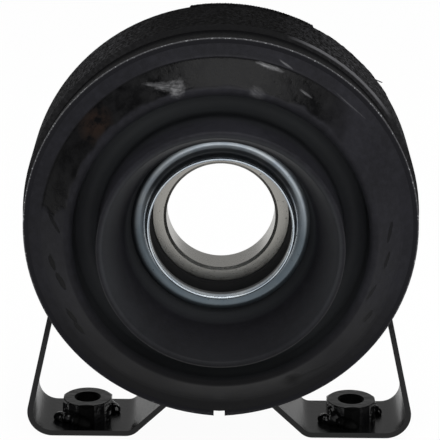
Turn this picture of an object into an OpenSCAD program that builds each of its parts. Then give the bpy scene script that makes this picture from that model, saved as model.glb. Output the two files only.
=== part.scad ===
// Driveshaft centre bearing: a ball bearing in a pressed sleeve, hung in a bonded rubber
// cushion inside a rolled steel ring, held by one bent strap with two feet and weld nuts.
// Millimetres. The shaft axis runs along Y, +Z is up, the funnel faces -Y, the feet stand below.

/* [Bearing] */
// Shaft bore of the inner ring
bore_d = 40; // [38:0.5:42]
// Outside of the outer ring
bearing_od = 68; // [62:0.5:75]
// Width of both rings
bearing_w = 15; // [14:0.5:18]
// Ball diameter as a share of the height from bore to outside
ball_share = 0.567; // [0.5:0.005:0.6]
// Height of the inner ring's shoulders over the bottom of its race, as a share of the ball
inner_shoulder = 0.267; // [0.22:0.005:0.3]
// Height of the outer ring's shoulders over the bottom of its race, as a share of the ball
outer_shoulder = 0.198; // [0.16:0.005:0.25]
// Sheet thickness of the ball cage
cage_t = 0.8; // [0.6:0.05:1]

/* [Sleeve] */
// Sheet thickness of the plated sleeve
sleeve_t = 1.1; // [0.8:0.1:1.5]
// Clearance of the collar round the inner ring
collar_clear = 0.7; // [0.4:0.1:1.2]
// How far the collar's end stands in front of the bearing
collar_reach = 15.2; // [12:0.2:17]
// How far the collar stands in front of the foot of the sleeve's end wall
collar_step = 7; // [5:0.2:9]
// Slope of the end wall, which is dished forward towards its outer edge
wall_lean = 35; // [25:1:42]

/* [Rubber cushion] */
// How far the rounded shoulder lies inside the ring's edge
bulge_inset = 14.4; // [13:0.1:16]
// How far the shoulder stands in front of the ring's edge
bulge_reach = 9.1; // [7:0.1:12]
// How far the front ridge round the funnel lies inside the shoulder
ridge_inset = 12.35; // [11.5:0.05:13.5]
// How far the ridge stands in front of the ring's edge
ridge_reach = 22.3; // [18:0.1:26]
// Width of the flat lip inside the ring's edge
lip_w = 4.1; // [3:0.1:5]
// Depth of the groove behind the shoulder
groove_depth = 7; // [5:0.5:10]
// Thickness of the rubber left behind the groove
web_t = 6; // [4:0.5:8]

/* [Ring] */
// Outside of the rolled ring under the strap
ring_od = 140.8; // [139:0.2:143]
// Sheet thickness of the ring
ring_t = 2; // [1.5:0.1:2.4]
// Length of the ring along the shaft
ring_w = 46; // [43:0.5:50]
// How far the front edge flares outward
ring_flare = 0.8; // [0.3:0.1:1.4]
// Butt gap between the rolled ends, below
butt_gap = 4; // [2:0.5:8]

/* [Strap] */
// Width of the strap along the shaft
strap_w = 31; // [27:0.5:33]
// Sheet thickness of the strap
strap_t = 2.1; // [1.6:0.1:2.6]
// How far the strap's middle lies behind the bearing's middle
strap_offset = 6.5; // [5:0.5:8]
// Height of the shaft axis above the feet
axis_height = 87.4; // [85:0.5:92]
// Distance between the two bolts
bolt_spacing = 101; // [97:0.2:105]
// Lean of the outer legs from upright
leg_lean = 12.5; // [10:0.5:15]
// Outside bend radius between outer leg and foot
heel_r = 9.5; // [8:0.5:11]
// Slope of the inner legs
toe_slope = 43.4; // [40:0.2:47]
// Clearance hole for the bolt through the foot
bolt_hole_d = 11; // [10.4:0.1:12]

/* [Weld nuts] */
// Width across flats
nut_af = 18.4; // [17:0.2:19]
// Nut height
nut_h = 7.4; // [6.5:0.1:10]
// Thread size of the bolt
thread_d = 10; // [8:1:10]

/* [Hidden] */
$fn = 96;

eps = 0.01;
far = 200;
// Straight runs enter their rounded corners a hair inside the circle, so that both join.
nip = 0.999;
// Straight sheet lies a lap inside the faces of a bend, and runs this far into it: strap and sleeve.
lap = 0.01;
overlap = 0.3;
wall_lap = 0.15;
// Degrees by which the strap's first bend runs into the wrap
bend_lap = 2.5;

// Bearing, middle at the origin; sizes that follow others are kept to a hundredth of a millimetre
function hundredth(size) = round(size * 100) / 100;
bore_r = bore_d / 2;
bearing_r = bearing_od / 2;
half_w = bearing_w / 2;
pitch_r = (bore_r + bearing_r) / 2;
ball_r = hundredth(ball_share * (bearing_r - bore_r) / 2);
ball_count = 12;
race_gap = 0.05;
inner_shoulder_r = hundredth(pitch_r - ball_r + inner_shoulder * 2 * ball_r);
outer_shoulder_r = hundredth(pitch_r + ball_r - outer_shoulder * 2 * ball_r);
shoulder_gap = outer_shoulder_r - inner_shoulder_r;
ring_chamfer = 1;
small_chamfer = 0.3;
seal_t = 1;
seal_sink = 0.3;
seal_bite = hundredth((bearing_r - outer_shoulder_r) * 0.348);
seal_run = 0.15;
seal_lip_w = hundredth(shoulder_gap * 0.212);
seal_lip_t = 0.6;
pocket_gap = 0.1;
cage_run = hundredth(shoulder_gap * 0.176);
rivet_r = hundredth(shoulder_gap * 0.165);
rivet_head_r = hundredth(shoulder_gap * 0.259);
rivet_head_h = 0.5;

// Sleeve
collar_r = inner_shoulder_r + collar_clear + sleeve_t;
collar_end = -half_w - collar_reach;
collar_fillet = 1.2;
edge_chamfer = 0.3;
corner_r = 1.4;
seat_step = 1.9;
seat_r = bearing_r + sleeve_t;
neck_r = bearing_r - seat_step + sleeve_t;
seat_front = -half_w - sleeve_t;
seat_back = half_w + sleeve_t;
crimp_w = 1.2;
crimp_r = bearing_r - crimp_w;
fillet_c = [collar_r + collar_fillet, collar_end + collar_step - collar_fillet];
wall_dir = [cos(wall_lean), -sin(wall_lean)];
wall_back = [sin(wall_lean), cos(wall_lean)];
wall_rounds = collar_fillet + corner_r;
wall_len = (neck_r - corner_r - fillet_c[0] - wall_back[0] * wall_rounds) / wall_dir[0];
corner_c = [neck_r - corner_r,
    hundredth(fillet_c[1] + wall_back[1] * wall_rounds + wall_dir[1] * wall_len)];

// Strap and ring along the shaft
strap_back = strap_offset + strap_w / 2;
strap_front = strap_back - strap_w;
ring_r = ring_od / 2;
ring_in = ring_r - ring_t;
ring_back = strap_back;
ring_front = ring_back - ring_w;
flare_w = 12;
flare_start = ring_front + flare_w;
strap_r = ring_r + strap_t;

// Rubber cushion: the lip's edge, then inward over shoulder, groove and ridge into the funnel
lip_r = ring_in + ring_flare;
lip_rise = 2;
crease = [lip_r - lip_w, ring_front - lip_rise];
bulge_round = 2;
bulge_r = lip_r - bulge_inset;
bulge = [bulge_r, ring_front - bulge_reach];
ridge_round = 1.3;
ridge = [bulge_r - ridge_inset, ring_front - ridge_reach];
groove_round = 4.2;
groove_wall = 0.3;
groove_r = bulge_r - bulge_round - groove_wall - groove_round;
groove_y = bulge[1] + groove_depth;
bond_lap = 0.4;
throat_r = neck_r - bond_lap;
funnel_lead = 1;
funnel_depth = 19.3;
funnel_step = [neck_r + funnel_lead, ridge[1] + funnel_depth];

// Back of the rubber: hub round the sleeve, floor, tongue, pocket and skin on the ring
edge_inset = 2;
cushion_back = ring_back - edge_inset;
hub_inset = 1;
hub_back = seat_back - hub_inset;
hub_wall = 4.5;
hub_back_r = seat_r + hub_wall;
hub_draft = 1.2;
hub_floor_r = groove_r - groove_round + hub_draft;
floor_y = groove_y + groove_round + web_t;
tongue_round = 3;
tongue_r = groove_r + groove_round + web_t;
tongue = [tongue_r - tongue_round, floor_y - tongue_round];
skin_t = 2.8;
skin_r = ring_in - skin_t;
pocket_draft = 2;
pocket_floor_t = 4;
pocket_round = (skin_r - pocket_draft - tongue_r) / 2;
pocket = [tongue_r + pocket_round, ring_front + pocket_floor_t];

// Feet, given for the right-hand side
foot_z = -axis_height;
foot_top = foot_z + strap_t;
bolt_x = bolt_spacing / 2;
leg_out = [cos(leg_lean), sin(leg_lean)];
leg_down = [sin(leg_lean), -cos(leg_lean)];
heel_run = 12.4;
heel = [bolt_x + heel_run, foot_z + heel_r];
leg_dist = heel * leg_out + heel_r;
bend_r = 4;
bend_drop = sqrt(pow(strap_r + bend_r, 2) - pow(leg_dist + bend_r, 2));
bend = leg_out * (leg_dist + bend_r) + leg_down * bend_drop;
bend_angle = atan2(bend[1], bend[0]);
toe_r = 6.5;
toe_run = 15.1;
toe = [bolt_x - toe_run, foot_z + toe_r];
toe_end = [-sin(toe_slope), -cos(toe_slope)];
toe_dir = [-cos(toe_slope), sin(toe_slope)];
toe_len = axis_height * 0.4;
weld_r = strap_t * 0.9;
weld_inset = 2;
seam_r = 2;
seam_from = -9;
seam_to = 27;

// Weld nuts
thread_minor_r = thread_d * 0.43;
nut_corner_r = nut_af / 2 / cos(30);
nut_chamfer = 1.2;
thread_chamfer = 0.8;
nut_turn = 30;
nut_face_inset = 0.2;
nut_bead_r = 3.4;
nut_bead_taper = 0.5;
nut_bead_lift = 0.4;
nut_bead_turns = [40, 222];

// Where a line from point p touches the circle round c; side +1 or -1 picks which of the two.
function touch(p, c, r, side) =
    let (d = p - c, a = atan2(d[1], d[0]) + side * acos(r / norm(d)))
    c + r * [cos(a), sin(a)];

// Spins a profile of radius and distance along the shaft round the shaft axis.
module turned() {
    rotate([-90, 0, 0]) rotate_extrude() children();
}

// Pushes a front-view profile through the part, from y = front to y = back.
module pushed(front, back) {
    translate([0, back, 0]) rotate([90, 0, 0]) linear_extrude(back - front) children();
}

// The same thing on the right and on the left.
module both_sides() {
    children();
    mirror([1, 0, 0]) children();
}

// A bent piece of sheet: the part of a ring round c that lies between two directions.
module sheet_bend(c, r_in, r_out, from, to) {
    translate(c) intersection() {
        difference() {
            circle(r_out);
            circle(r_in);
        }
        polygon([[0, 0], far * [cos(from), sin(from)],
            far * 2 * [cos((from + to) / 2), sin((from + to) / 2)], far * [cos(to), sin(to)]]);
    }
}

// The part of the strap that lies on the ring, in front view.
module wrap_profile() {
    difference() {
        circle(strap_r);
        circle(ring_r);
        polygon([[0, 0], far * [-cos(bend_angle), sin(bend_angle)], [-far, -far * 2],
            [far, -far * 2], far * [cos(bend_angle), sin(bend_angle)]]);
    }
}

// The right-hand foot in front view: bend off the ring, outer leg, heel, flat, toe, inner leg.
module foot_profile() {
    leg_faces = [leg_out * (heel_r - 2 * lap), leg_out * (heel_r - strap_t + 2 * lap)];
    leg_top = bend - leg_out * (bend_r + heel_r) - leg_down * overlap;
    leg_low = heel + leg_down * overlap;
    toe_faces = [toe + toe_end * (toe_r - lap), toe + toe_end * (toe_r - strap_t + lap)];
    sheet_bend(bend, bend_r + lap, bend_r + strap_t - lap, bend_angle + 180 - bend_lap, leg_lean + 180);
    polygon([leg_top + leg_faces[0], leg_top + leg_faces[1], leg_low + leg_faces[1],
        leg_low + leg_faces[0]]);
    sheet_bend(heel, heel_r - strap_t, heel_r, -90, leg_lean);
    translate([toe[0], foot_z]) square([heel[0] - toe[0], strap_t]);
    sheet_bend(toe, toe_r - strap_t, toe_r, -90 - toe_slope, -90);
    difference() {
        polygon([toe_faces[0] - toe_dir * overlap, toe_faces[1] - toe_dir * overlap,
            toe_faces[1] + toe_dir * toe_len, toe_faces[0] + toe_dir * toe_len]);
        circle(ring_r);
    }
}

// Rolled steel ring round the rubber, with a flared front edge and a butt gap below
module shell_ring() {
    color("#1c1c1f") difference() {
        turned() polygon([[ring_in, ring_back], [ring_r, ring_back], [ring_r, flare_start],
            [ring_r + ring_flare, ring_front], [lip_r, ring_front],
            [ring_in, flare_start]]);
        translate([-butt_gap / 2, ring_front - 1, -strap_r]) cube([butt_gap, ring_w + 2, strap_r - skin_r]);
    }
}

// One bent strap: over the top of the ring and down into both feet
module mounting_strap() {
    color("#202023") difference() {
        union() {
            pushed(strap_front, strap_back) wrap_profile();
            both_sides() pushed(strap_front, strap_back) foot_profile();
        }
        for (side = [-1, 1])
            translate([side * bolt_x, strap_offset, foot_z - 1]) cylinder(h = strap_t + 2, d = bolt_hole_d);
    }
}

// Weld beads: inner legs to the ring, and the seam along the strap's back edge on top
module strap_welds() {
    foot_face = toe + toe_end * toe_r;
    along = foot_face * toe_dir;
    run = -along - sqrt(along * along - foot_face * foot_face + ring_r * ring_r);
    color("#29292c") {
        both_sides() pushed(strap_front + weld_inset, strap_back - weld_inset) difference() {
            translate(foot_face + toe_dir * run) circle(weld_r);
            circle(ring_r);
            foot_profile();
        }
        difference() {
            rotate([-90, 0, 0]) rotate([0, 0, seam_from - 90])
                rotate_extrude(angle = seam_to - seam_from)
                    translate([ring_r + strap_t / 2, strap_back]) circle(seam_r);
            turned() translate([ring_in, ring_front]) square([strap_r - ring_in, ring_w]);
        }
    }
}

// A weld nut on the foot at x, thread open through the foot
module weld_nut(x) {
    translate([x, strap_offset, foot_top]) difference() {
        intersection() {
            rotate([0, 0, nut_turn]) cylinder(h = nut_h, r = nut_corner_r, $fn = 6);
            union() {
                cylinder(h = nut_h - nut_chamfer, r = nut_corner_r + eps);
                translate([0, 0, nut_h - nut_chamfer])
                    cylinder(h = nut_chamfer, r1 = nut_corner_r + eps, r2 = nut_af / 2 - nut_face_inset);
            }
        }
        translate([0, 0, -1]) cylinder(h = nut_h + 2, r = thread_minor_r);
        translate([0, 0, nut_h - thread_chamfer])
            cylinder(h = thread_chamfer + eps, r1 = thread_minor_r, r2 = thread_minor_r + thread_chamfer);
    }
}

module left_weld_nut() {
    color("#1d1d20") weld_nut(-bolt_x);
}

module right_weld_nut() {
    color("#1d1d20") weld_nut(bolt_x);
}

// Weld beads on two opposite flats of each nut
module nut_welds() {
    color("#2b2b2e") for (x = [-bolt_x, bolt_x], turn = nut_bead_turns)
        translate([x, strap_offset, foot_top]) difference() {
            intersection() {
                union() for (step = [-1, 0, 1]) rotate([0, 0, turn])
                    translate([nut_af / 2 + nut_bead_lift, step * nut_bead_r, nut_bead_lift])
                        sphere(nut_bead_r - abs(step) * nut_bead_taper);
                translate([-far / 2, -far / 2, 0]) cube([far, far, nut_h]);
            }
            rotate([0, 0, nut_turn]) cylinder(h = nut_h, r = nut_corner_r, $fn = 6);
        }
}

// Everything inside the sleeve's outer skin, so that the rubber stops on it
module sleeve_envelope() {
    translate([0, corner_c[1] - corner_r]) square([corner_c[0], seat_back - corner_c[1]]);
    translate(corner_c) circle(corner_r);
    translate([0, corner_c[1]]) square([neck_r, -corner_c[1]]);
    translate([0, seat_front]) square([seat_r, seat_back - seat_front]);
}

// The rubber's section: skin in the ring, lip, shoulder, groove, ridge, funnel, hub and web
module cushion_profile() {
    groove_out = [groove_r + groove_round * nip, groove_y];
    groove_in = [groove_r - groove_round * nip, groove_y];
    difference() {
        union() {
            polygon([[ring_in, cushion_back], [skin_r, cushion_back], [skin_r, floor_y],
                pocket + [pocket_round * nip, 0], pocket - [pocket_round * nip, 0],
                tongue + [tongue_round * nip, 0], tongue, tongue + [0, tongue_round * nip],
                [hub_floor_r, floor_y], [hub_back_r, hub_back], [throat_r, hub_back],
                [throat_r, corner_c[1]], funnel_step,
                touch(funnel_step, ridge, ridge_round * nip, 1), ridge,
                touch(groove_in, ridge, ridge_round * nip, -1), groove_in, groove_out,
                touch(groove_out, bulge, bulge_round * nip, 1), bulge,
                touch(crease, bulge, bulge_round * nip, -1), crease, [lip_r, ring_front],
                [ring_in, flare_start]]);
            translate(bulge) circle(bulge_round);
            translate(ridge) circle(ridge_round);
            translate(tongue) circle(tongue_round);
        }
        translate([groove_r, groove_y]) circle(groove_round);
        translate(pocket) circle(pocket_round);
        sleeve_envelope();
    }
}

// Rubber bonded to the ring outside and to the sleeve inside
module rubber_cushion() {
    color("#2b2b31") turned() cushion_profile();
}

// Plated sleeve pressed from sheet: collar, dished end wall, neck, bearing seat and rolled rear edge
module bearing_sleeve() {
    color("#b9c0c8") turned() {
        wall_foot = fillet_c + wall_back * (collar_fillet + lap) - wall_dir * wall_lap;
        wall_edge = wall_foot + wall_dir * (wall_len + 2 * wall_lap);
        wall_inside = wall_back * (sleeve_t - 2 * lap);
        polygon([[collar_r - sleeve_t, fillet_c[1]], [collar_r - sleeve_t, collar_end + edge_chamfer],
            [collar_r - sleeve_t + edge_chamfer, collar_end], [collar_r - edge_chamfer, collar_end],
            [collar_r, collar_end + edge_chamfer], [collar_r, fillet_c[1]]]);
        sheet_bend(fillet_c, collar_fillet, collar_fillet + sleeve_t, 90 - wall_lean, 180);
        polygon([wall_foot, wall_edge, wall_edge + wall_inside, wall_foot + wall_inside]);
        sheet_bend(corner_c, corner_r - sleeve_t, corner_r, -90 - wall_lean, 0);
        translate([neck_r - sleeve_t, corner_c[1]]) square([sleeve_t, seat_front - corner_c[1]]);
        translate([neck_r - sleeve_t, seat_front]) square([seat_r - neck_r + sleeve_t, sleeve_t]);
        translate([bearing_r, -half_w]) square([sleeve_t, bearing_w]);
        translate([crimp_r, half_w]) square([bearing_r - crimp_r, sleeve_t]);
        translate([bearing_r, half_w]) intersection() {
            circle(sleeve_t);
            square(sleeve_t);
        }
    }
}

// Outer ring of the bearing, with the ball race and a seat for each seal
module outer_race() {
    seat_in = outer_shoulder_r + seal_bite;
    seat_y = half_w - seal_sink - seal_t;
    color("#a9abad") turned() difference() {
        polygon([[seat_in, -half_w], [bearing_r - ring_chamfer, -half_w],
            [bearing_r, -half_w + ring_chamfer], [bearing_r, half_w - ring_chamfer],
            [bearing_r - ring_chamfer, half_w], [seat_in, half_w], [seat_in, seat_y],
            [outer_shoulder_r, seat_y], [outer_shoulder_r, -seat_y], [seat_in, -seat_y]]);
        translate([pitch_r, 0]) circle(ball_r + race_gap);
    }
}

// Inner ring of the bearing, turning with the shaft
module inner_race() {
    color("#b3b1ac") turned() difference() {
        polygon([[bore_r, -half_w + ring_chamfer], [bore_r + ring_chamfer, -half_w],
            [inner_shoulder_r - small_chamfer, -half_w],
            [inner_shoulder_r, -half_w + small_chamfer], [inner_shoulder_r, half_w - small_chamfer],
            [inner_shoulder_r - small_chamfer, half_w], [bore_r + ring_chamfer, half_w],
            [bore_r, half_w - ring_chamfer]]);
        translate([pitch_r, 0]) circle(ball_r + race_gap);
    }
}

// A rubber seal in the outer ring, its thin lip running beside the inner ring
module seal_profile() {
    lip_in = inner_shoulder_r + seal_run;
    body_in = lip_in + seal_lip_w;
    seal_in = half_w - seal_sink - seal_t;
    seal_out = outer_shoulder_r + seal_bite;
    polygon([[lip_in, seal_in], [seal_out, seal_in], [seal_out, seal_in + seal_t],
        [body_in, seal_in + seal_t], [body_in, seal_in + seal_lip_t], [lip_in, seal_in + seal_lip_t]]);
}

module front_seal() {
    color("#17171a") turned() mirror([0, 1]) seal_profile();
}

module rear_seal() {
    color("#17171a") turned() seal_profile();
}

// One half of the pressed cage: a ribbon with a round pocket for every ball
module cage_half() {
    cage_in = inner_shoulder_r + cage_run;
    cage_out = outer_shoulder_r - cage_run;
    rotate([-90, 0, 0]) difference() {
        intersection() {
            union() {
                rotate_extrude() translate([cage_in, 0]) square([cage_out - cage_in, cage_t]);
                for (i = [0 : ball_count - 1]) rotate([0, 0, i * 360 / ball_count])
                    translate([pitch_r, 0, 0]) sphere(ball_r + pocket_gap + cage_t);
            }
            rotate_extrude() translate([cage_in, 0]) square([cage_out - cage_in, bearing_w]);
        }
        for (i = [0 : ball_count - 1]) rotate([0, 0, i * 360 / ball_count]) {
            translate([pitch_r, 0, 0]) sphere(ball_r + pocket_gap);
            rotate([0, 0, 180 / ball_count]) translate([pitch_r, 0, -1])
                cylinder(h = cage_t + 2, r = rivet_r);
        }
    }
}

module front_cage_half() {
    color("#8d8a80") mirror([0, 1, 0]) cage_half();
}

module rear_cage_half() {
    color("#8d8a80") cage_half();
}

// Rivets that hold the two cage halves together, one between each pair of balls
module cage_rivets() {
    color("#8a877e") for (i = [0 : ball_count - 1]) rotate([0, (i + 0.5) * 360 / ball_count, 0])
        translate([pitch_r, 0, 0]) rotate([90, 0, 0]) {
            translate([0, 0, -cage_t]) cylinder(h = 2 * cage_t, r = rivet_r);
            translate([0, 0, cage_t]) cylinder(h = rivet_head_h, r = rivet_head_r);
            translate([0, 0, -cage_t - rivet_head_h]) cylinder(h = rivet_head_h, r = rivet_head_r);
        }
}

// Ball number i, counted from +X towards +Z
module ball(i) {
    color("#c4c6c8") rotate([0, -(i - 1) * 360 / ball_count, 0]) translate([pitch_r, 0, 0]) sphere(ball_r);
}

shell_ring();
mounting_strap();
strap_welds();
left_weld_nut();
right_weld_nut();
nut_welds();
rubber_cushion();
bearing_sleeve();
outer_race();
inner_race();
front_seal();
rear_seal();
front_cage_half();
rear_cage_half();
cage_rivets();
ball(1);  // ball_01
ball(2);  // ball_02
ball(3);  // ball_03
ball(4);  // ball_04
ball(5);  // ball_05
ball(6);  // ball_06
ball(7);  // ball_07
ball(8);  // ball_08
ball(9);  // ball_09
ball(10);  // ball_10
ball(11);  // ball_11
ball(12);  // ball_12
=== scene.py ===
"""Driveshaft centre bearing: finishes, weld beads, nut threads, studio light and camera."""

import math
from types import SimpleNamespace

import bmesh
import bpy
from mathutils import Matrix, Vector, noise


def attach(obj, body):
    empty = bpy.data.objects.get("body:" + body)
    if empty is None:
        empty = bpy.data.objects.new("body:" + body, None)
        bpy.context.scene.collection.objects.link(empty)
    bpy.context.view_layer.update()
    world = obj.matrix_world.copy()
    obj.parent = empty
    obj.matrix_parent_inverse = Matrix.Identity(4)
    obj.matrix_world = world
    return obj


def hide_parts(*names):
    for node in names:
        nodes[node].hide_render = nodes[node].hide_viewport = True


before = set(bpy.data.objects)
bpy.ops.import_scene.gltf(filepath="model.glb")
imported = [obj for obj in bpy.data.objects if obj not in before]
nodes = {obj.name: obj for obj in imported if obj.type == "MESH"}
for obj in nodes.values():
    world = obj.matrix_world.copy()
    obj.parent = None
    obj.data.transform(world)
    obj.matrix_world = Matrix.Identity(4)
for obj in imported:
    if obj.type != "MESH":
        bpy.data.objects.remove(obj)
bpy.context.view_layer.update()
scene = bpy.context.scene
scene.view_settings.view_transform = "Standard"

MM = 0.001

# Sizes of the part that the added pieces follow, in millimetres
RING_R = 70.4
RING_IN = 68.4
RING_FLARE = 0.8
RING_FRONT = -24.0
FLARE_START = -12.0
STRAP_T = 2.1
STRAP_FRONT, STRAP_BACK = -9.0, 22.0
STRAP_MIDDLE = 6.5
FOOT_Z = -87.4
FOOT_TOP = FOOT_Z + STRAP_T
BOLT_X = 50.5
TOE = (BOLT_X - 15.1, FOOT_Z + 6.5)
TOE_R = 6.5
TOE_SLOPE = math.radians(43.4)
THREAD_HOLE_R = 4.3
THREAD_PITCH = 1.5

# The ring's ends spring out by this much at the butt gap, fading over this many degrees to each side
SPRING_OUT = 1.05
SPRING_TURN = 30


def linear(colour):
    """Turns an sRGB hex colour into linear red, green, blue and alpha."""
    parts = [int(colour[i:i + 2], 16) / 255 for i in (1, 3, 5)]
    return tuple(p / 12.92 if p <= 0.04045 else ((p + 0.055) / 1.055) ** 2.4 for p in parts) + (1.0,)


def add(tree, kind, *inputs, **settings):
    """Adds a node with its settings. Each input is a value or another node's output, given in the order
    of the node's sockets, or in a dictionary by their names or numbers."""
    node = tree.nodes.new(kind)
    for key, value in settings.items():
        setattr(node, key, value)
    given = inputs[0] if inputs and isinstance(inputs[0], dict) else dict(enumerate(inputs))
    for key, value in given.items():
        if isinstance(value, bpy.types.NodeSocket):
            tree.links.new(value, node.inputs[key])
        else:
            node.inputs[key].default_value = value
    return node


def new_finish(name, **values):
    """Starts a material with plain values on its shader. Gives the material, a way to put a node into it,
    a way to lead results into its shader, and the place on the part in mm."""
    material = bpy.data.materials.new(name)
    material.use_nodes = True
    tree = material.node_tree
    sockets = tree.nodes["Principled BSDF"].inputs
    for key, value in values.items():
        sockets[key.replace("_", " ")].default_value = value

    def put(kind, *inputs, out=0, **settings):
        return add(tree, "ShaderNode" + kind, *inputs, **settings).outputs[out]

    def lead(**results):
        for key, result in results.items():
            tree.links.new(result, sockets[key.replace("_", " ")])

    place = put("VectorMath", put("TexCoord", out="Object"), (1000, 1000, 1000), operation="MULTIPLY")
    return material, put, lead, place


def where(put, *bands, most=1.0):
    """Share of the surface where every value lies past its second limit; it fades out to the first."""
    for value, nothing, full in bands:
        most = put("MapRange", value, nothing, full, 0, most)
    return most


def coats(put, colour, *more):
    """Lays colours over a first one, each with the share of the surface that it covers."""
    colour = linear(colour) if isinstance(colour, str) else colour
    for share, over in more:
        over = linear(over) if isinstance(over, str) else over
        colour = put("Mix", {0: share, 6: colour, 7: over}, out=2, data_type="RGBA")
    return colour


def around_shaft(put, place):
    """The place as it lies round the shaft axis: sideways, along, height, radius and angle."""
    sideways, along, height = put("SeparateXYZ", place, out=slice(3))
    flat = put("CombineXYZ", sideways, 0, height)
    radius = put("VectorMath", flat, out="Value", operation="LENGTH")
    angle = put("Math", height, sideways, operation="ARCTAN2")
    return SimpleNamespace(sideways=sideways, along=along, height=height, radius=radius, angle=angle)


# Marks on the rubber's front, as x, z, half length, half width in mm, tilt in degrees and strength
# The pale marks are painted highlights: glints on glossy peeled flakes, laid on as streaky pale marks.
PAINTED_FLAKE_GLINTS = [(-15.6, 55.0, 2.6, 2.8, 0, 0.45), (-20.2, 55.3, 3.2, 1.4, 0, 0.4),
               (-24.4, 55.5, 3.0, 0.6, 0, 0.35), (16.4, 61.6, 5.0, 0.7, -20, 0.6),
               (22.4, 62.1, 2.8, 0.35, -34, 0.5), (29.4, 52.7, 2.5, 0.4, -34, 0.4),
               (12.1, 53.8, 2.8, 2.0, -35, 0.2), (45.3, 47.5, 6.8, 0.25, -42, 0.2)]
DARK_SMUDGES = [(-10.8, 57.1, 2.4, 1.3, -18, 0.8), (22.0, 57.5, 3.2, 1.4, -20, 0.6),
                (26.4, -54.8, 5.0, 2.6, 20, 0.7)]
DARK_CUTS = [(-60.4, -10.5, 3.4, 1.2, -75, 1.0), (-57.2, -17.0, 3.8, 1.3, -62, 1.0),
             (-53.6, -31.4, 3.4, 1.2, -55, 1.0), (-51.1, -36.2, 3.0, 1.1, -50, 0.9),
             (60.3, 2.3, 4.4, 0.8, 80, 0.7), (59.5, -8.2, 3.4, 0.8, 75, 0.7),
             (54.0, -19.8, 3.4, 0.8, 60, 0.6), (53.5, -30.2, 3.0, 0.9, 55, 0.7),
             (-59.3, 5.0, 4.4, 0.8, -55, 0.8), (34.5, -51.5, 6.0, 0.5, 22, 0.5)]


# Moulded natural rubber: near black, satin, with a faint mould grain and a bloom of charcoal blue.
# The outer skin has come away on the upper left, and the rubber under it is darker and wet-looking.
def moulded_rubber():
    material, put, lead, place = new_finish("moulded_black_rubber", IOR=1.52, Specular_IOR_Level=0.07)
    at = around_shaft(put, place)
    bloom = put("TexNoise", {"Vector": place, "Scale": 1 / 26, "Detail": 4})
    handled = put("TexNoise", {"Vector": place, "Scale": 1 / 2.4, "Detail": 5, "Roughness": 0.65})
    # The underside is painted darker, as painted shade. The groove, the funnel's mouth and its throat are
    # painted paler:
    # dust, and painted light where these recesses lie in shade.
    from_middle = put("Math", at.height, operation="ABSOLUTE")
    # The groove, the funnel's mouth and its throat are painted paler: dust, and painted light in recesses
    # that lie in shade.
    in_groove = where(put, (at.radius, 43.4, 45), (at.radius, 54.4, 53), (at.along, -36, -30),
                      most=put("MapRange", from_middle, 8, 40, 0.4, 1))
    at_mouth = where(put, (at.radius, 35.5, 40), (at.radius, 43, 42),
                     most=put("MapRange", at.height, -36, -12, 0.1, 0.4))
    at_throat = where(put, (at.radius, 34.6, 33.6), most=0.6)
    dust_and_painted_light = put("Math", put("Math", in_groove, at_mouth, operation="MAXIMUM"), at_throat, operation="MAXIMUM")
    # Painted shade: the body darkens towards the bottom. The recesses pale as dust and painted light.
    body = coats(put, "#18181b", (where(put, (bloom, 0.35, 0.65)), "#1d1d21"),
                 (where(put, (handled, 0.42, 0.72), most=0.5), "#27272c"),
                 (where(put, (at.height, -18, -56), most=0.85), "#0a0a0b"), (dust_and_painted_light, "#3c3e40"))
    # Under the torn skin: wet film, with a patch of rust.
    film = put("TexNoise", {"Vector": place, "Scale": 1 / 5, "Detail": 4, "Roughness": 0.6})
    from_rust = put("VectorMath", place, (-44.4, -30, 40.9), out="Value", operation="DISTANCE")
    wet = coats(put, "#030304", (where(put, (film, 0.36, 0.68)), "#131314"),
                (where(put, (from_rust, 8, 3), (film, 0.4, 0.55), most=0.6), "#261a13"))
    torn = put("Attribute", out="Fac", attribute_name="torn")
    colour = coats(put, body, (torn, wet))
    # Marks with ragged rims; the pale ones are streaky painted highlights, and the cuts go into the surface.
    uneven = put("TexNoise", {"Vector": place, "Scale": 1 / 1.1, "Detail": 3})
    cuts = 0.0
    for marks, tint, rim, blur, solid, deep in ((DARK_CUTS, "#020203", 1.25, 0.15, 1, 4),
                                                (DARK_SMUDGES, "#020203", 1.1, 0.4, 1, 0),
                                                (PAINTED_FLAKE_GLINTS, "#8a8a8c", 0.95, 0.7, 0, 0)):
        for x, z, half_length, half_width, tilt, strength in marks:
            local = put("Mapping", {"Vector": place, "Location": (x, 0, z),
                                    "Rotation": (0, math.radians(-tilt), 0),
                                    "Scale": (half_length, 1e6, half_width)}, vector_type="TEXTURE")
            distance = put("VectorMath", local, out="Value", operation="LENGTH")
            ragged = put("Math", uneven, 0.9, distance, operation="MULTIPLY_ADD")
            lengthwise = put("VectorMath", local, (0.9, 1, 3.0), operation="MULTIPLY")
            streaks = put("TexNoise", {"Vector": lengthwise, "Scale": 1.0, "Detail": 4, "Roughness": 0.65})
            mark = where(put, (ragged, rim + blur, rim), (at.along, -22, -24),
                         most=put("MapRange", streaks, 0.36, 0.62, solid * strength, strength))
            colour = coats(put, colour, (mark, tint))
            if deep:
                cuts = put("Math", mark, deep, cuts, operation="MULTIPLY_ADD")
    dull = put("MapRange", bloom, 0.3, 0.7, 0.42, 0.54)
    slick = put("MapRange", film, 0.35, 0.65, 0.16, 0.4)
    fine = put("TexNoise", {"Vector": place, "Scale": 1 / 0.5, "Detail": 2})
    crinkle = put("Math", put("Math", film, torn, operation="MULTIPLY"), 6, fine, operation="MULTIPLY_ADD")
    relief = put("Math", put("Math", bloom, 2, crinkle, operation="MULTIPLY_ADD"), cuts, operation="SUBTRACT")
    lead(Base_Color=colour, Roughness=put("MapRange", torn, 0, 1, dull, slick),
         Normal=put("Bump", {"Height": relief, "Strength": 1.0, "Distance": 0.05 * MM}))
    return material
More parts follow.
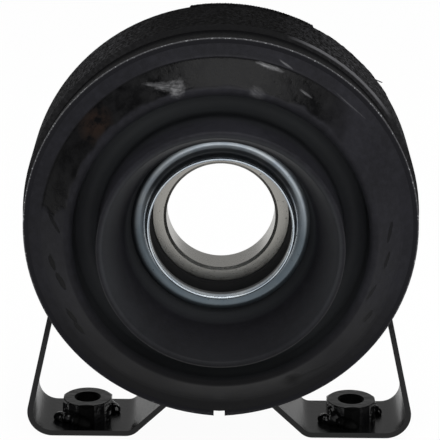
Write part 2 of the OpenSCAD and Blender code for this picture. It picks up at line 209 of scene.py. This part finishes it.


# Black stoving paint over rough rolled strip: a coarse dull grain on the ring's wrap, darker over its top as
# painted shade, smooth and glossy on the legs and feet, where it ran down and pooled. The front edge face is
# painted lighter as painted light, and its outer corner on the upper right carries a painted highlight.
def rough_paint():
    material, put, lead, place = new_finish("rough_black_paint", IOR=1.5, Specular_IOR_Level=0.1)
    at = around_shaft(put, place)
    pooled = where(put, (at.height, -30, -50))
    coarse = put("TexNoise", {"Vector": place, "Scale": 1 / 1.3, "Detail": 4, "Roughness": 0.6})
    thick = put("TexNoise", {"Vector": place, "Scale": 1 / 14, "Detail": 3})
    # Painted shade: the wrap is darker over its top.
    wrap = coats(put, "#040404", (where(put, (coarse, 0.43, 0.65)), "#3a3a3c"),
                 (where(put, (at.height, 60, 70), most=0.8), "#040404"))
    foot = coats(put, "#070708", (where(put, (thick, 0.35, 0.7)), "#0f0f10"))
    # The front edge face is painted lighter as painted light; its outer corner on the upper right is painted
    # pale as a painted highlight.
    edge = where(put, (at.along, STRAP_FRONT + 0.1, STRAP_FRONT + 0.02), (at.height, -20, 10))
    painted_edge_highlight = where(put, (at.angle, 0.55, 0.7), (at.angle, 1.25, 1.1), (at.radius, 71.4, 71.8), most=edge)
    colour = coats(put, wrap, (pooled, foot), (put("Math", edge, 0.7, operation="MULTIPLY"), "#2a2a2b"),
                   (put("Math", painted_edge_highlight, 0.8, operation="MULTIPLY"), "#77777a"))
    evened = put("Math", pooled, edge, operation="MAXIMUM")
    relief = put("Math", coarse, put("MapRange", evened, 0, 1, 1, 0.12), operation="MULTIPLY")
    lead(Base_Color=colour, Roughness=put("MapRange", pooled, 0, 1, 0.9, 0.25),
         Specular_IOR_Level=put("MapRange", pooled, 0, 1, 0.03, 0.25),
         Normal=put("Bump", {"Height": relief, "Strength": 1.0, "Distance": 0.7 * MM}))
    return material


# The same paint on the rolled ring: smoother, with a thin pale line along its front corner that is partly
# worn steel and partly a painted highlight, strongest over the top, with chips of bare steel in it. The front
# face is dusty like the rubber beside it.
def ring_paint():
    material, put, lead, place = new_finish("chipped_black_paint", IOR=1.5, Specular_IOR_Level=0.02)
    at = around_shaft(put, place)
    fine = put("TexNoise", {"Vector": place, "Scale": 1 / 1.2, "Detail": 4})
    chipped = put("TexNoise", {"Vector": place, "Scale": 1 / 0.8, "Detail": 5, "Roughness": 0.7})
    from_corner = put("Math", put("Math", RING_R + RING_FLARE, at.radius, operation="SUBTRACT"),
                      put("Math", at.along, RING_FRONT, operation="SUBTRACT"), operation="MAXIMUM")
    # A thin pale line along the front corner: worn steel and a painted highlight, strongest over the top and
    # fading below.
    worn_line_and_highlight = where(put, (from_corner, 0.55, 0.2), most=put("MapRange", at.height, -45, 0, 0.1, 1))
    chips = where(put, (chipped, 0.56, 0.64), most=worn_line_and_highlight)
    front_face = where(put, (at.along, RING_FRONT + 0.2, RING_FRONT + 0.05))
    colour = coats(put, "#0d0d0e", (front_face, "#1d1d20"),
                   (put("Math", worn_line_and_highlight, 0.7, operation="MULTIPLY"), "#5c5c5e"), (chips, "#c9cbcd"))
    lead(Base_Color=colour, Metallic=chips, Roughness=put("MapRange", fine, 0.3, 0.7, 0.45, 0.6),
         Normal=put("Bump", {"Height": fine, "Strength": 1.0, "Distance": 0.12 * MM}))
    return material


# Gloss black paint, wet and thick, over nuts and weld beads; the threads inside are dull and oily.
def gloss_paint():
    material, put, lead, place = new_finish("gloss_black_paint", IOR=1.5, Specular_IOR_Level=0.4)
    sag = put("TexNoise", {"Vector": place, "Scale": 1 / 3.5, "Detail": 3})
    splash = put("TexNoise", {"Vector": place, "Scale": 1 / 1.7, "Detail": 2})
    either_side = put("VectorMath", place, operation="ABSOLUTE")
    from_bolt = put("VectorMath", either_side, (BOLT_X, STRAP_MIDDLE, 0), operation="SUBTRACT")
    flat = put("VectorMath", from_bolt, (1, 1, 0), operation="MULTIPLY")
    radius = put("VectorMath", flat, out="Value", operation="LENGTH")
    bored = where(put, (radius, THREAD_HOLE_R + 0.85, THREAD_HOLE_R + 0.75))
    beads = where(put, (radius, 9.2, 9.8))
    smoother = put("Math", beads, -0.4, sag, operation="MULTIPLY_ADD")
    dull = put("Math", put("MapRange", smoother, 0.3, 0.7, 0.12, 0.26),
               put("Math", bored, 0.6, operation="MULTIPLY"), operation="MAXIMUM")
    wetness = put("Math", put("MapRange", beads, 0, 1, 0.25, 0.8), put("MapRange", bored, 0, 1, 1, 0.2),
                  operation="MULTIPLY")
    relief = put("Math", splash, put("Math", beads, 2.2, operation="MULTIPLY"), sag, operation="MULTIPLY_ADD")
    lead(Base_Color=coats(put, "#070708", (sag, "#101011"), (bored, "#050505")), Roughness=dull,
         Specular_IOR_Level=wetness,
         Normal=put("Bump", {"Height": relief, "Strength": 1.0, "Distance": 0.3 * MM}))
    return material


def oil_specks(put, place):
    """A coat of a few dark specks of oil."""
    speckle = put("TexNoise", {"Vector": place, "Scale": 1 / 0.8, "Detail": 2})
    return where(put, (speckle, 0.71, 0.74)), "#0a0a0a"


# Bright zinc plate on pressed sheet: bluish, with faint drawing lines round the axis, painted darker below as
# painted shade. The lines are drawn coarser than real ones, so that they show.
# A film of rubber fades in towards the cushion and reaches further in on the left, there as painted shade;
# painted shade also darkens the collar's outside and inside and the trough over its top, but not its rim.
def zinc_plate():
    material, put, lead, place = new_finish("bright_zinc_plate", Specular_IOR_Level=0.2)
    at = around_shaft(put, place)
    round_axis = put("CombineXYZ", at.radius, put("Math", at.angle, 1.5, operation="MULTIPLY"), at.along)
    drawn = put("TexNoise", {"Vector": round_axis, "Scale": 1 / 0.4, "Detail": 3})
    cloud = put("TexNoise", {"Vector": place, "Scale": 1 / 6, "Detail": 4})
    rolled = where(put, (at.radius, 27.5, 28.5), (at.along, -9, -13))
    # Painted shade: the roll is darker below.
    painted_shade_below = where(put, (at.height, 26, -5), (at.radius, 27.5, 28.5), (at.along, -9, -13), most=0.9)
    # The film reaches further in on the left: painted shade on that side.
    film_reach_with_left_shade = put("Math", at.radius, put("MapRange", at.sideways, -6, -26, 0, 1.2), operation="ADD")
    film = where(put, (film_reach_with_left_shade, 30.6, 32.9), (at.along, -9, -13))
    outside = where(put, (at.radius, 26.7, 26.8), (at.radius, 28, 27.2), (at.along, -22.4, -21.9))
    inside = where(put, (at.radius, 26.1, 25.9), (at.along, -20.4, -19.4))
    trough = where(put, (at.radius, 26.7, 26.8), (at.radius, 29.5, 28.9), (at.along, -22.4, -21.9),
                   (at.height, 3, 15))
    # Painted shade darkens the collar's outside and inside, and the trough over its top.
    for shaded_part in (outside, inside, trough):
        film = put("Math", film, put("Math", shaded_part, 0.92, operation="MULTIPLY"), operation="MAXIMUM")
    colour = coats(put, "#b4bfca", (where(put, (cloud, 0.35, 0.7)), "#d3dade"), (painted_shade_below, "#4c575e"),
                   oil_specks(put, place), (film, "#1a1c1f"))
    covered = put("Math", rolled, film, operation="MAXIMUM")
    dull = put("Math", put("MapRange", cloud, 0.3, 0.7, 0.22, 0.3),
               put("Math", covered, 0.36, operation="MULTIPLY"), operation="MAXIMUM")
    lead(Base_Color=colour, Metallic=put("MapRange", film, 0, 1, 1, 0.1), Roughness=dull,
         Normal=put("Bump", {"Height": drawn, "Strength": 1.0, "Distance": 0.01 * MM}))
    return material


# Ground bearing steel: warm light grey, fine grinding lines round the axis, coarser than real ones to show.
def ground_steel():
    material, put, lead, place = new_finish("ground_bearing_steel", Metallic=1.0)
    at = around_shaft(put, place)
    round_axis = put("CombineXYZ", at.radius, put("Math", at.angle, 2.0, operation="MULTIPLY"), at.along)
    ground = put("TexNoise", {"Vector": round_axis, "Scale": 1 / 0.3, "Detail": 4, "Roughness": 0.7})
    lead(Base_Color=coats(put, "#8b8984", (ground, "#a6a49f"), oil_specks(put, place)),
         Roughness=put("MapRange", ground, 0.3, 0.7, 0.24, 0.36),
         Normal=put("Bump", {"Height": ground, "Strength": 1.0, "Distance": 0.012 * MM}))
    return material


# Lapped steel balls: a clean mirror.
def lapped_steel():
    material, put, lead, place = new_finish("lapped_ball_steel", Metallic=1.0)
    haze = put("TexNoise", {"Vector": place, "Scale": 1 / 1.5, "Detail": 3})
    lead(Base_Color=coats(put, "#c3c4c5", (haze, "#d6d7d8")),
         Roughness=put("MapRange", haze, 0.3, 0.7, 0.05, 0.1))
    return material


# Pressed cage strip: cold-rolled steel, slightly oiled and brownish.
def pressed_strip():
    material, put, lead, place = new_finish("pressed_cage_steel", Metallic=1.0)
    rolled = put("TexNoise", {"Vector": place, "Scale": 1 / 2.5, "Detail": 4})
    lead(Base_Color=coats(put, "#8d8778", (rolled, "#aaa598")),
         Roughness=put("MapRange", rolled, 0.3, 0.7, 0.25, 0.4))
    return material


# Nitrile seal rubber: matt black, fine grained.
def seal_rubber():
    material, put, lead, place = new_finish("nitrile_seal_rubber", IOR=1.52)
    fine = put("TexNoise", {"Vector": place, "Scale": 1 / 0.6, "Detail": 3})
    lead(Base_Color=coats(put, "#101011", (fine, "#1c1c1d")),
         Roughness=put("MapRange", fine, 0.3, 0.7, 0.5, 0.65),
         Normal=put("Bump", {"Height": fine, "Strength": 1.0, "Distance": 0.03 * MM}))
    return material


rubber = moulded_rubber()
strap_paint = rough_paint()
edge_paint = ring_paint()
wet_paint = gloss_paint()
zinc = zinc_plate()
steel = ground_steel()
ball_steel = lapped_steel()
cage_steel = pressed_strip()
seal = seal_rubber()

finish_of = {"shell_ring": edge_paint, "mounting_strap": strap_paint, "strap_welds": strap_paint,
             "left_weld_nut": wet_paint, "right_weld_nut": wet_paint, "nut_welds": wet_paint,
             "rubber_cushion": rubber, "bearing_sleeve": zinc, "outer_race": steel, "inner_race": steel,
             "front_seal": seal, "rear_seal": seal, "front_cage_half": cage_steel,
             "rear_cage_half": cage_steel, "cage_rivets": cage_steel}
for name, piece in nodes.items():
    piece.data.materials.clear()
    piece.data.materials.append(finish_of.get(name, ball_steel))


def new_tree(name, **sizes):
    """A Geometry Nodes tree with named sizes as inputs, each with its kind of value."""
    tree = bpy.data.node_groups.new(name, "GeometryNodeTree")
    tree.interface.new_socket("Geometry", in_out="INPUT", socket_type="NodeSocketGeometry")
    for size, kind in sizes.items():
        tree.interface.new_socket(size, in_out="INPUT", socket_type="NodeSocket" + kind)
    tree.interface.new_socket("Geometry", in_out="OUTPUT", socket_type="NodeSocketGeometry")
    return tree, add(tree, "NodeGroupInput").outputs, add(tree, "NodeGroupOutput")


def grown(name, tree, points, edges, values):
    """Runs a tree on a path and keeps the result as a plain mesh."""
    path = bpy.data.meshes.new(name + "_path")
    path.from_pydata(points, edges, [])
    piece = bpy.data.objects.new(name, path)
    scene.collection.objects.link(piece)
    modifier = piece.modifiers.new("Form", "NODES")
    modifier.node_group = tree
    for socket in tree.interface.items_tree:
        if socket.in_out == "INPUT" and socket.name in values:
            modifier[socket.identifier] = values[socket.name]
    mesh = bpy.data.meshes.new_from_object(piece.evaluated_get(bpy.context.evaluated_depsgraph_get()))
    piece.modifiers.clear()
    piece.data = mesh
    mesh.shade_smooth()
    return piece


def thread_tree():
    """A thread ridge winding up each nut's hole, one at every point of the path."""
    tree, given, out = new_tree("nut_thread", Radius="Float", Pitch="Float", Turns="Float",
                                Material="Material")
    height = add(tree, "ShaderNodeMath", given["Pitch"], given["Turns"], operation="MULTIPLY")
    helix = add(tree, "GeometryNodeCurveSpiral",
                {"Resolution": 48, "Rotations": given["Turns"], "Start Radius": given["Radius"],
                 "End Radius": given["Radius"], "Height": height.outputs[0]})
    ridge_size = add(tree, "ShaderNodeMath", given["Pitch"], 0.24, operation="MULTIPLY")
    ridge = add(tree, "GeometryNodeCurvePrimitiveCircle", {"Resolution": 3, "Radius": ridge_size.outputs[0]})
    wound = add(tree, "GeometryNodeCurveToMesh",
                {"Curve": helix.outputs[0], "Profile Curve": ridge.outputs[0], "Fill Caps": True})
    placed = add(tree, "GeometryNodeInstanceOnPoints",
                 {"Points": given["Geometry"], "Instance": wound.outputs[0]})
    real = add(tree, "GeometryNodeRealizeInstances", placed.outputs[0])
    coated = add(tree, "GeometryNodeSetMaterial",
                 {"Geometry": real.outputs[0], "Material": given["Material"]})
    tree.links.new(coated.outputs[0], out.inputs[0])
    return tree


threads = grown("nut_threads", thread_tree(),
                [(side * BOLT_X * MM, STRAP_MIDDLE * MM, (FOOT_TOP + 0.4) * MM) for side in (-1, 1)], [],
                {"Radius": (THREAD_HOLE_R + 0.25) * MM, "Pitch": THREAD_PITCH * MM, "Turns": 4,
                 "Material": wet_paint})
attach(threads, "housing")


def weld_tree():
    """A weld: a row of overlapping lumps along the path, melted together into one bead."""
    tree, given, out = new_tree("weld_bead", Step="Float", Width="Float", Height="Float", Fineness="Float",
                                Unevenness="Float", Seed="Int", Material="Material")
    path = add(tree, "GeometryNodeMeshToCurve", {"Mesh": given["Geometry"]})
    row = add(tree, "GeometryNodeResampleCurve", {"Curve": path.outputs[0], "Length": given["Step"]},
              mode="LENGTH")
    lump = add(tree, "GeometryNodeMeshIcoSphere", {"Radius": 1.0, "Subdivisions": 3})
    tangent = add(tree, "GeometryNodeInputTangent")
    turned = add(tree, "FunctionNodeAlignRotationToVector", {"Vector": tangent.outputs[0]}, axis="X")
    size = add(tree, "ShaderNodeCombineXYZ", given["Step"], given["Width"], given["Height"])
    least = add(tree, "ShaderNodeMath", 1.0, given["Unevenness"], operation="SUBTRACT").outputs[0]
    smallest = add(tree, "ShaderNodeCombineXYZ", 1.0, least, least)
    vary = add(tree, "FunctionNodeRandomValue",
               {"Min": smallest.outputs[0], "Max": (1.25, 1.0, 1.0), "Seed": given["Seed"]},
               data_type="FLOAT_VECTOR")
    scaled = add(tree, "ShaderNodeVectorMath", size.outputs[0], vary.outputs["Value"], operation="MULTIPLY")
    placed = add(tree, "GeometryNodeInstanceOnPoints",
                 {"Points": row.outputs[0], "Instance": lump.outputs[0], "Rotation": turned.outputs[0],
                  "Scale": scaled.outputs[0]})
    real = add(tree, "GeometryNodeRealizeInstances", placed.outputs[0])
    cloud = add(tree, "GeometryNodeMeshToVolume",
                {"Mesh": real.outputs[0], "Voxel Size": given["Fineness"], "Interior Band Width": 0.002},
                resolution_mode="VOXEL_SIZE")
    melted = add(tree, "GeometryNodeVolumeToMesh",
                 {"Volume": cloud.outputs[0], "Threshold": 0.1, "Adaptivity": 0.02})
    coated = add(tree, "GeometryNodeSetMaterial",
                 {"Geometry": melted.outputs[0], "Material": given["Material"]})
    tree.links.new(coated.outputs[0], out.inputs[0])
    return tree


def paths(*runs):
    """Points and edges of several separate runs, given in mm."""
    points, edges = [], []
    for run in runs:
        edges += [(len(points) + i, len(points) + i + 1) for i in range(len(run) - 1)]
        points += [tuple(value * MM for value in point) for point in run]
    return points, edges


# Seam on the strap's rear edge over the top, and a bead where each inner leg meets the ring.
seam_r = RING_R + STRAP_T / 2
seam = [(seam_r * math.sin(math.radians(a)), STRAP_BACK + 0.3, seam_r * math.cos(math.radians(a)))
        for a in range(-9, 28, 2)]
face = Vector(TOE) + TOE_R * Vector((-math.sin(TOE_SLOPE), -math.cos(TOE_SLOPE)))
up_leg = Vector((-math.cos(TOE_SLOPE), math.sin(TOE_SLOPE)))
along = face.dot(up_leg)
meet = face + up_leg * (-along - math.sqrt(along * along - face.dot(face) + RING_R * RING_R))
leg_runs = [[(side * meet.x, y, meet.y) for y in (STRAP_FRONT + 2.5, STRAP_BACK - 2.5)] for side in (-1, 1)]
weld = weld_tree()
strap_beads = grown("strap_weld_beads", weld, *paths(seam, *leg_runs),
                    {"Step": 1.0 * MM, "Width": 1.75 * MM, "Height": 1.75 * MM, "Fineness": 0.22 * MM,
                     "Unevenness": 0.04, "Seed": 4, "Material": strap_paint})
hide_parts("strap_welds")

# A rough burr along the strap's rear corner on the upper right, with one flake that stands off.
burr_r = RING_R + STRAP_T - 0.1


def on_corner(out, turn_deg):
    """A place on the strap's rear corner, lifted off it by out, turned from the top to the right."""
    turn = math.radians(turn_deg)
    return ((burr_r + out) * math.sin(turn), STRAP_BACK - 0.4, (burr_r + out) * math.cos(turn))


burr = grown("strap_burr", weld, *paths([on_corner(0, a) for a in range(30, 60, 2)],
                                        [on_corner(0, 52), on_corner(0.9, 53.2)]),
             {"Step": 1.3 * MM, "Width": 0.5 * MM, "Height": 0.45 * MM, "Fineness": 0.12 * MM,
              "Unevenness": 0.5, "Seed": 7, "Material": strap_paint})
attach(burr, "housing")

# Two thick beads hold each nut: one in front on its left, one behind on its right.
nut_runs = []
for side in (-1, 1):
    for turn_deg, reach, half in ((238, 10.2, 5.4), (40, 10.2, 3.4)):
        turn = math.radians(turn_deg)
        middle = Vector((side * BOLT_X, STRAP_MIDDLE)) + reach * Vector((math.cos(turn), math.sin(turn)))
        across = Vector((-math.sin(turn), math.cos(turn)))
        nut_runs.append([(*(middle + across * step), FOOT_TOP + lift) for step, lift in
                         ((-half, 1.4), (-half / 3, 2.2), (half / 3, 1.9), (half, 1.4))])
nut_beads = grown("nut_weld_beads", weld, *paths(*nut_runs),
                  {"Step": 2.9 * MM, "Width": 2.8 * MM, "Height": 3.2 * MM, "Fineness": 0.22 * MM,
                   "Unevenness": 0.4, "Seed": 11, "Material": wet_paint})
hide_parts("nut_welds")
for bead in (strap_beads, nut_beads):
    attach(bead, "housing")


def arc(centre, radius, start, stop, step=9):
    """Points of a round corner in a section, angles in degrees."""
    count = max(2, math.ceil(abs(stop - start) / step))
    return [(centre[0] + radius * math.cos(math.radians(start + (stop - start) * i / count)),
             centre[1] + radius * math.sin(math.radians(start + (stop - start) * i / count)))
            for i in range(count + 1)]


def touch_angle(point, centre, radius, side):
    """Direction in degrees in which a line from the point touches a round corner."""
    away = Vector(point) - Vector(centre)
    return math.degrees(math.atan2(away.y, away.x) + side * math.acos(radius / away.length))


def fine_line(start, stop, spacing):
    """Points of a straight part of a section, without its end."""
    count = max(1, math.ceil((Vector(stop) - Vector(start)).length / spacing))
    return [tuple(Vector(start).lerp(Vector(stop), i / count)) for i in range(count)]


def smooth(value, low, high):
    """Goes from 0 to 1 between two limits, with soft ends."""
    share = min(1, max(0, (value - low) / (high - low)))
    return share * share * (3 - 2 * share)


def sprung(x, z):
    """How far the ring's rolled ends spring out beside the butt gap, at a place in front view."""
    off = abs(math.degrees(math.atan2(x, -z)))
    return SPRING_OUT * max(0, 1 - off / SPRING_TURN) ** 1.6


def torn_skin(radius, angle, x, z):
    """Share of the outer skin that has come away: sharp at the lip, ragged at the left end."""
    ragged = noise.noise(Vector((x * 0.16, z * 0.16, 3.1)))
    ragged += 0.5 * noise.noise(Vector((x * 0.5, z * 0.5, 7.3)))
    turn = angle % 360
    right_end = smooth(turn + 5 * ragged, 36, 58)
    left_end = 1 - smooth(turn + 4 * ragged, 170.2, 171.6)
    under_lip = 1 - smooth(radius, 64.75, 65.05)
    shoulder = smooth(radius + 0.9 * ragged, 55.6, 57.2)
    return right_end * left_end * under_lip * shoulder


def turned_faces(sides, count):
    """Faces between the copies of a closed section that stand round the shaft axis."""
    return [(i * count + j, i * count + (j + 1) % count, (i + 1) % sides * count + (j + 1) % count,
             (i + 1) % sides * count + j) for i in range(sides) for j in range(count)]


def turned_piece(name, mesh, node, material, sharp):
    """Finishes a turned mesh as a piece of the housing that stands in for a node of the part."""
    work = bmesh.new()
    work.from_mesh(mesh)
    bmesh.ops.recalc_face_normals(work, faces=work.faces)
    work.to_mesh(mesh)
    work.free()
    mesh.shade_smooth()
    mesh.set_sharp_from_angle(angle=math.radians(sharp))
    mesh.materials.append(material)
    piece = bpy.data.objects.new(name, mesh)
    scene.collection.objects.link(piece)
    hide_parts(node)
    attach(piece, "housing")


# The sleeve turned from its section: collar with a round rim, trough, rolled shoulder, neck, seat and crimp.
TROUGH, ROLL, RIM = Vector((27.8, -18.0)), Vector((30.8, -15.4)), Vector((26.35, -22.15))
TROUGH_R, ROLL_R = 0.9, 2.4
SHEET_T = 1.1
SLEEVE_SIDES = 180
wall = ROLL - TROUGH
wall_tilt = math.degrees(math.atan2(wall.y, wall.x) + math.acos((TROUGH_R + ROLL_R) / wall.length))
sleeve_section = (arc(RIM, SHEET_T / 2, 180, 360, 20) + arc(TROUGH, TROUGH_R, 180, wall_tilt)
                  + arc(ROLL, ROLL_R, wall_tilt - 180, 0, 6)
                  + [(33.2, -8.6), (35.1, -8.6), (35.1, 7.8), (34.3, 8.6), (32.8, 8.6), (32.8, 7.5),
                     (34, 7.5), (34, -7.5), (32.1, -7.5)]
                  + arc(ROLL, ROLL_R - SHEET_T, 0, wall_tilt - 180, 6)
                  + arc(TROUGH, TROUGH_R + SHEET_T, wall_tilt, 180))
sleeve_points = []
for i in range(SLEEVE_SIDES):
    turn = math.radians(360 / SLEEVE_SIDES * i)
    sleeve_points += [(r * math.cos(turn) * MM, y * MM, r * math.sin(turn) * MM) for r, y in sleeve_section]
sleeve_mesh = bpy.data.meshes.new("rolled_bearing_sleeve")
sleeve_mesh.from_pydata(sleeve_points, [], turned_faces(SLEEVE_SIDES, len(sleeve_section)))
turned_piece("rolled_bearing_sleeve", sleeve_mesh, "bearing_sleeve", zinc, 40)

# The rubber cushion turned from its section, with its wear worked into the surface.
CREASE, BULGE, RIDGE, GROOVE = (65.1, -26.0), (54.8, -33.1), (42.45, -46.3), (48.3, -26.1)
BULGE_R, RIDGE_R, GROOVE_R = 2, 1.3, 4.2
GROOVE_OUT, GROOVE_IN = (52.5, -26.1), (44.1, -26.1)
FUNNEL_STEP, THROAT = (34.2, -27.0), (32.45, -17.0)
LIP_FOOT, SHOULDER = (65.5, -25.8), (64.5, -26.52)
lip_edge = (RING_IN + RING_FLARE, RING_FRONT)
bulge_arc = arc(BULGE, BULGE_R, touch_angle(CREASE, BULGE, BULGE_R, -1),
                touch_angle(GROOVE_OUT, BULGE, BULGE_R, 1) - 360)
ridge_arc = arc(RIDGE, RIDGE_R, touch_angle(GROOVE_IN, RIDGE, RIDGE_R, -1),
                touch_angle(FUNNEL_STEP, RIDGE, RIDGE_R, 1) - 360, 14)
# The points lie closest where the torn skin ends at the lip.
front_face = (fine_line(lip_edge, LIP_FOOT, 0.6) + fine_line(LIP_FOOT, SHOULDER, 0.12)
              + fine_line(SHOULDER, bulge_arc[0], 0.5) + bulge_arc
              + fine_line(bulge_arc[-1], GROOVE_OUT, 1.5) + arc(GROOVE, GROOVE_R, 0, 180, 15)
              + fine_line(GROOVE_IN, ridge_arc[0], 2.2)[1:] + ridge_arc
              + fine_line(ridge_arc[-1], FUNNEL_STEP, 2)[1:]
              + [FUNNEL_STEP, (33.8, -23.7), (33.35, -20.4), THROAT])
rear_face = ([(32.95, -16.2), (33.2, -15.2), (33.2, -8.6), (35.1, -8.6), (35.1, 7.6), (39.6, 7.6), (42.5, -4),
              (45.3, -15.9), (50, -15.9)] + arc((55.5, -18.9), 3, 90, 0, 18)
             + arc((61.05, -20), 2.55, 180, 360, 18)
             + [(65.6, -15.9), (65.6, 20), (68.4, 20), (68.4, FLARE_START)])
section = front_face + rear_face
CUSHION_SIDES = 540
TORN_DEPTH, DIMPLE_DEPTH, FURROW_DEPTH, WAVE_DEPTH = 0.5, 0.9, 0.25, 0.12
DIMPLE_R, FURROW_R = 4.5, 1.6
DIMPLE, FURROW_END = Vector((26.4, -54.8)), Vector((42.1, -48.4))
FURROW = FURROW_END - DIMPLE
# Wear sinks in square to the shoulder's slope, partly towards the axis and partly backwards.
SINK_IN, SINK_BACK = 0.6, 0.8


def worn_depth(place, radius, torn):
    """How deep the rubber's front lies under its moulded form: torn skin, dimple, furrow, faint waves."""
    step = min(1, max(0, (place - DIMPLE).dot(FURROW) / FURROW.length_squared))
    from_furrow = (place - DIMPLE - FURROW * step).length
    waves = noise.noise(Vector((place.x * 0.06, place.y * 0.06, 1.7)))
    return (TORN_DEPTH * torn + DIMPLE_DEPTH * (1 - smooth((place - DIMPLE).length, 0, DIMPLE_R))
            + FURROW_DEPTH * (1 - smooth(from_furrow, 0, FURROW_R)) * (1 - step)
            + WAVE_DEPTH * waves * smooth(radius, 56, 59) * (1 - smooth(radius, 63, 65)))


cushion_mesh = bpy.data.meshes.new("rubber_cushion_skin")
points, skin_share = [], []
for i in range(CUSHION_SIDES):
    angle = 360 * i / CUSHION_SIDES
    out = Vector((math.cos(math.radians(angle)), math.sin(math.radians(angle))))
    for j, (radius, y) in enumerate(section):
        x, z = radius * out
        torn = sink = 0.0
        on_shoulder = j < len(front_face) and radius > 52.9 and y > -36
        if on_shoulder:
            torn = torn_skin(radius, angle, x, z)
            sink = worn_depth(Vector((x, z)), radius, torn)
        reach = radius + sprung(x, z) * smooth(radius, 64, 68.3) - sink * SINK_IN
        points.append((reach * out.x * MM, (y + sink * SINK_BACK) * MM, reach * out.y * MM))
        skin_share.append(torn)
cushion_mesh.from_pydata(points, [], turned_faces(CUSHION_SIDES, len(section)))
cushion_mesh.attributes.new("torn", "FLOAT", "POINT").data.foreach_set("value", skin_share)
turned_piece("rubber_cushion_skin", cushion_mesh, "rubber_cushion", rubber, 32)

# The rolled ring with its ends sprung out beside the butt gap.
ring_mesh = nodes["shell_ring"].data.copy()
work = bmesh.new()
work.from_mesh(ring_mesh)
bmesh.ops.remove_doubles(work, verts=work.verts, dist=1e-6)
for corner in work.verts:
    x, y, z = corner.co / MM
    grow = sprung(x, z) / math.hypot(x, z)
    corner.co = Vector((x * (1 + grow), y, z * (1 + grow))) * MM
work.to_mesh(ring_mesh)
work.free()
ring_mesh.shade_smooth()
ring_mesh.set_sharp_from_angle(angle=math.radians(30))
ring = bpy.data.objects.new("sprung_shell_ring", ring_mesh)
scene.collection.objects.link(ring)
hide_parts("shell_ring")
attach(ring, "housing")

# Plain pale studio: white paper to the eye and in reflections, a soft grey room round it.
floor_mesh = bpy.data.meshes.new("studio_floor")
FLOOR_GAP = 0.2
half_floor, floor_z = 4.0, (FOOT_Z - FLOOR_GAP) * MM
floor_mesh.from_pydata([(-half_floor, -half_floor, floor_z), (half_floor, -half_floor, floor_z),
                        (half_floor, half_floor, floor_z), (-half_floor, half_floor, floor_z)], [],
                       [(0, 1, 2, 3)])
floor = bpy.data.objects.new("studio_floor", floor_mesh)
scene.collection.objects.link(floor)


# White paper: matt, faintly clouded, and white to the eye. The small share of its own shade that is left
# over keeps the object's shadow on it.
WHITE_SHARE = 0.96


def white_paper():
    material, put, lead, place = new_finish("white_paper", Roughness=0.9)
    cloud = put("TexNoise", {"Vector": place, "Scale": 1 / 40, "Detail": 3})
    lead(Base_Color=coats(put, "#f4f4f4", (cloud, "#fafafa")))
    seen = 0.0
    for ray in ("Is Camera Ray", "Is Glossy Ray", "Is Transmission Ray"):
        seen = put("Math", seen, put("LightPath", out=ray), operation="MAXIMUM")
    glow = put("Emission", {"Color": (1, 1, 1, 1), "Strength": 1.0})
    tree = material.node_tree
    paper = tree.nodes["Principled BSDF"].outputs[0]
    mixed = put("MixShader", put("Math", seen, WHITE_SHARE, operation="MULTIPLY"), paper, glow)
    tree.links.new(mixed, tree.nodes["Material Output"].inputs["Surface"])
    return material


floor_mesh.materials.append(white_paper())

world = bpy.data.worlds.new("studio")
scene.world = world
world.use_nodes = True
world.node_tree.nodes["Background"].inputs["Color"].default_value = (1, 1, 1, 1)
world.node_tree.nodes["Background"].inputs["Strength"].default_value = 0.48


def softbox(name, place, aim, size, power):
    """A rectangular lamp with a soft edge to its shadows, size in metres and power in watts."""
    lamp = bpy.data.lights.new(name, "AREA")
    lamp.shape = "RECTANGLE"
    lamp.size, lamp.size_y = size
    lamp.energy = power
    lamp_object = bpy.data.objects.new(name, lamp)
    lamp_object.location = place
    lamp_object.rotation_euler = (Vector(aim) - Vector(place)).to_track_quat("-Z", "Y").to_euler()
    scene.collection.objects.link(lamp_object)


softbox("overhead", (0.1, -0.3, 1.05), (0, 0, 0), (1.0, 0.8), 10)
softbox("front", (0.1, -1.5, 0.5), (0, 0, 0), (1.2, 0.8), 2.5)
softbox("right_front", (0.9, -0.7, 0.5), (0, 0, 0), (0.6, 0.8), 2)

# Camera at the photo's angle: above and in front, a long lens, with a slight roll.
lens = bpy.data.cameras.new("camera")
lens.sensor_width = 36
lens.lens = 179.9
lens.shift_x = -0.0018
lens.shift_y = 0.0166
lens.clip_end = 20
eye, target = Vector((0, -0.7726, 0.2530)), Vector((0, -0.020, 0))
camera = bpy.data.objects.new("camera", lens)
aimed = (target - eye).to_track_quat("-Z", "Y").to_matrix().to_4x4()
camera.matrix_world = Matrix.Translation(eye) @ aimed @ Matrix.Rotation(math.radians(0.5), 4, "Z")
scene.collection.objects.link(camera)
scene.camera = camera
